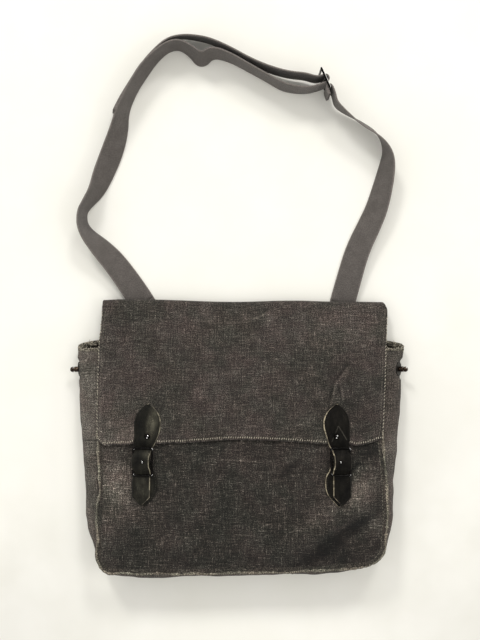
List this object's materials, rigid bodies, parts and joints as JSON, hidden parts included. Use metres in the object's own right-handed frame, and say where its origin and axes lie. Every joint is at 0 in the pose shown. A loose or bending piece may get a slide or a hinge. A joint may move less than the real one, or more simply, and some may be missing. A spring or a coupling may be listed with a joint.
{
  "type": "mail sack",
  "caption": "Canvas postman's satchel with a hinged flap, bellows sides, leather buckle closures over ball studs, and an adjustable webbing shoulder strap.",
  "frame": {"origin": "under the middle of the sack, on the surface it lies on, with its back down", "axes": "+X to the right seen from the front, +Y from the bottom seam to the folded top, +Z out of the front"},
  "size_m": [0.4646, 0.741, 0.0579],
  "materials": {
    "canvas": "coarse woven linen",
    "hem": "folded and stitched",
    "seam": "worn raised seam",
    "webbing": "plain woven webbing",
    "leather": "worn, creased",
    "blackened_metal": "worn black",
    "coppery_metal": "tarnished",
    "steel": "plain"
  },
  "bodies": {
    "sack": {"back_panel": "canvas", "back_seam_welt": "seam", "base_tab_left": "leather", "base_tab_right": "leather", "buckle_left": "blackened_metal", "buckle_post_left": "blackened_metal", "buckle_post_right": "blackened_metal", "buckle_right": "blackened_metal", "chape_left": "leather", "chape_right": "leather", "front_panel": "canvas", "front_seam_welt": "seam", "gusset_bottom": "canvas", "gusset_hem_left": "hem", "gusset_hem_right": "hem", "gusset_left": "canvas", "gusset_right": "canvas", "gusset_screw_left": "steel", "gusset_screw_right": "steel", "gusset_stud_left": "coppery_metal", "gusset_stud_right": "coppery_metal", "gusset_washer_left": "coppery_metal", "gusset_washer_right": "coppery_metal", "mouth_hem": "hem", "shoulder_strap_long": "webbing", "shoulder_strap_short": "webbing", "shoulder_strap_tail": "webbing", "strap_end_left": "webbing", "strap_end_right": "webbing", "strap_loop_left": "leather", "strap_loop_right": "leather", "strap_slider": "blackened_metal"},
    "flap": {"flap": "canvas", "flap_hem": "hem", "flap_stud_left": "blackened_metal", "flap_stud_right": "blackened_metal", "flap_stud_screw_left": "steel", "flap_stud_screw_right": "steel"},
    "tab_left": {"pull_tab_left": "leather"},
    "tab_right": {"pull_tab_right": "leather"},
    "tip_left": {"strap_tip_left": "leather"},
    "tip_right": {"strap_tip_right": "leather"}
  },
  "joints": [
    {"name": "flap_hinge", "type": "hinge", "parent": "sack", "child": "flap", "pos_m": [0, 0.1815, 0.0114], "axis": [-1, 0, 0], "range_deg": [0, 150]},
    {"name": "tab_left_lift", "type": "hinge", "parent": "sack", "child": "tab_left", "pos_m": [-0.13, -0.01108, 0.05094], "axis": [1, 0, 0], "range_deg": [0, 150]},
    {"name": "tip_left_lift", "type": "hinge", "parent": "sack", "child": "tip_left", "pos_m": [-0.13, -0.04694, 0.05406], "axis": [-1, 0, 0], "range_deg": [0, 60]},
    {"name": "tab_right_lift", "type": "hinge", "parent": "sack", "child": "tab_right", "pos_m": [0.1346, -0.01108, 0.05094], "axis": [1, 0, 0], "range_deg": [0, 150]},
    {"name": "tip_right_lift", "type": "hinge", "parent": "sack", "child": "tip_right", "pos_m": [0.1346, -0.04694, 0.05406], "axis": [-1, 0, 0], "range_deg": [0, 60]}
  ]
}
